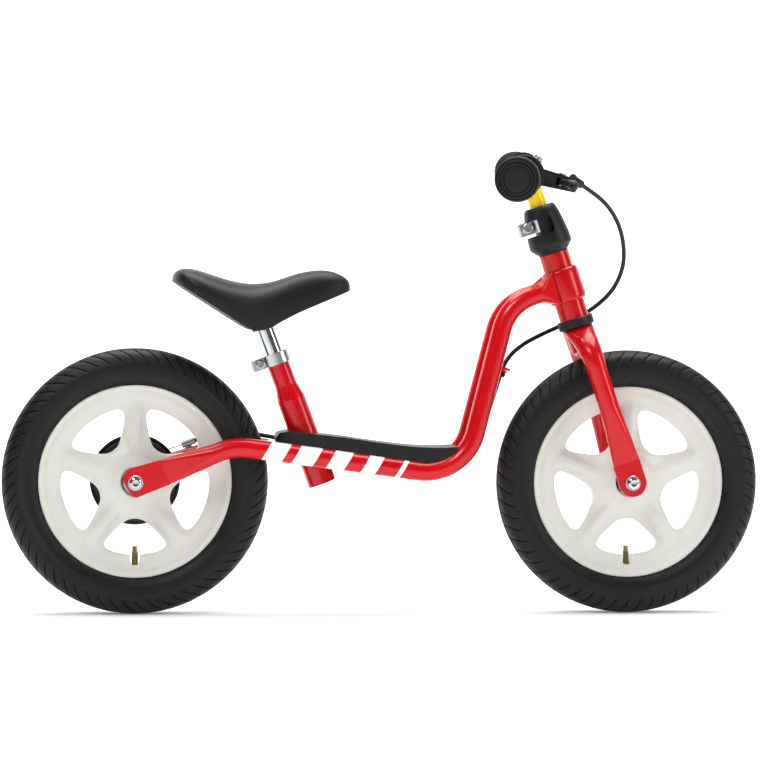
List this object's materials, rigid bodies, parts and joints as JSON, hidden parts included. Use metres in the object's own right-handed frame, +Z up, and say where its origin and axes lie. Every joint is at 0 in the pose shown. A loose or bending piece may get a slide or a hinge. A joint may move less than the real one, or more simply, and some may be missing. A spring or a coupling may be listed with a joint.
{
  "type": "balance bike",
  "caption": "Child's pedal-less balance bike with a low step-through frame, footboard, padded saddle, air tyres and a hand lever that works a rear drum brake.",
  "frame": {"origin": "on the ground, midway between the two axles, in the bike's mid-plane", "axes": "+X forward, +Y to the rider's left, +Z up"},
  "size_m": [0.8606, 0.4189, 0.5372],
  "materials": {
    "red_paint": "gloss",
    "yellow_paint": "gloss",
    "white_plastic": "semi-gloss",
    "tyre_rubber": "matt",
    "grip_rubber": "matt",
    "black_plastic": "satin",
    "saddle_skin": "satin",
    "cable_sheath": "semi-gloss",
    "chrome": "polished",
    "aluminium": "satin",
    "zinc_steel": "satin",
    "dark_steel": "satin",
    "brake_lining": "matt",
    "valve_brass": "satin"
  },
  "bodies": {
    "frame": {"frame_tube_right": "red_paint", "frame_tube_left": "red_paint", "head_tube": "red_paint", "head_band": "red_paint", "seat_tube": "red_paint", "seat_stub_right": "red_paint", "seat_stub_left": "red_paint", "headset_upper_cup": "black_plastic", "headset_lower_cup": "black_plastic", "seat_clamp": "aluminium", "seat_clamp_bolt": "zinc_steel", "seat_clamp_nut": "zinc_steel", "footboard": "black_plastic", "guide_plate": "red_paint", "cable_grommet": "grip_rubber", "cable_stop": "zinc_steel", "brake_cable_rear": "cable_sheath", "brake_cable_lower": "cable_sheath", "brake_wire": "zinc_steel", "rear_axle": "zinc_steel", "rear_axle_bolt_right": "chrome", "rear_axle_bolt_left": "chrome", "rear_spacers": "zinc_steel", "brake_plate": "dark_steel", "brake_anchor_bolt": "zinc_steel", "brake_shoes": "brake_lining"},
    "saddle": {"seat_post": "chrome", "saddle_base": "black_plastic", "saddle_cushion": "saddle_skin"},
    "fork": {"fork_steerer": "red_paint", "fork_blade_right": "red_paint", "fork_blade_left": "red_paint", "stem_clamp": "aluminium", "stem_clamp_bolt": "zinc_steel", "stem_clamp_nut": "zinc_steel", "steering_cover": "black_plastic", "front_axle": "zinc_steel", "front_axle_bolt_right": "chrome", "front_axle_bolt_left": "chrome", "front_spacers": "zinc_steel"},
    "handlebar": {"handlebar_stem": "yellow_paint", "handlebar_bar": "yellow_paint", "grip_right": "grip_rubber", "grip_left": "grip_rubber", "lever_bracket": "black_plastic", "lever_pivot_pin": "zinc_steel", "cable_adjuster": "black_plastic", "brake_cable_upper": "cable_sheath"},
    "brake_lever": {"brake_lever": "black_plastic"},
    "rear_wheel": {"rear_rim": "white_plastic", "rear_tyre": "tyre_rubber", "rear_valve": "valve_brass", "rear_bearings": "zinc_steel", "rear_brake_drum": "dark_steel"},
    "front_wheel": {"front_rim": "white_plastic", "front_tyre": "tyre_rubber", "front_valve": "valve_brass", "front_bearings": "zinc_steel"},
    "brake_arm": {"brake_arm": "zinc_steel"}
  },
  "joints": [
    {"name": "steering", "type": "hinge", "parent": "frame", "child": "fork", "pos_m": [0.2804, 0, 0.15], "axis": [-0.3123, 0, 0.95], "range_deg": [-45, 45], "deforming": ["brake_cable_lower"]},
    {"name": "handlebar_height", "type": "slide", "parent": "fork", "child": "handlebar", "axis": [-0.3123, 0, 0.95], "range_m": [-0.02, 0.04], "deforming": ["brake_cable_upper"]},
    {"name": "seat_height", "type": "slide", "parent": "frame", "child": "saddle", "axis": [-0.3518, 0, 0.9361], "range_m": [-0.02, 0.06]},
    {"name": "brake_lever", "type": "hinge", "parent": "handlebar", "child": "brake_lever", "pos_m": [0.18952, -0.08698, 0.48816], "axis": [-0.2392, 0.0966, -0.9661], "range_deg": [0, 18], "stiffness_Nm_per_rad": 1, "springref_deg": -5.73},
    {"name": "brake_arm", "type": "hinge", "parent": "frame", "child": "brake_arm", "pos_m": [-0.2684, 0.0505, 0.1825], "axis": [0, -1, 0], "range_deg": [0, 14.4], "deforming": ["brake_wire"]},
    {"name": "rear_wheel_spin", "type": "hinge", "parent": "frame", "child": "rear_wheel", "pos_m": [-0.2804, 0, 0.15], "axis": [0, 1, 0], "continuous": true},
    {"name": "front_wheel_spin", "type": "hinge", "parent": "fork", "child": "front_wheel", "pos_m": [0.2804, 0, 0.15], "axis": [0, 1, 0], "continuous": true}
  ],
  "couplings": [
    {"joint": "brake_arm", "follows": "brake_lever", "ratio": 0.8}
  ]
}
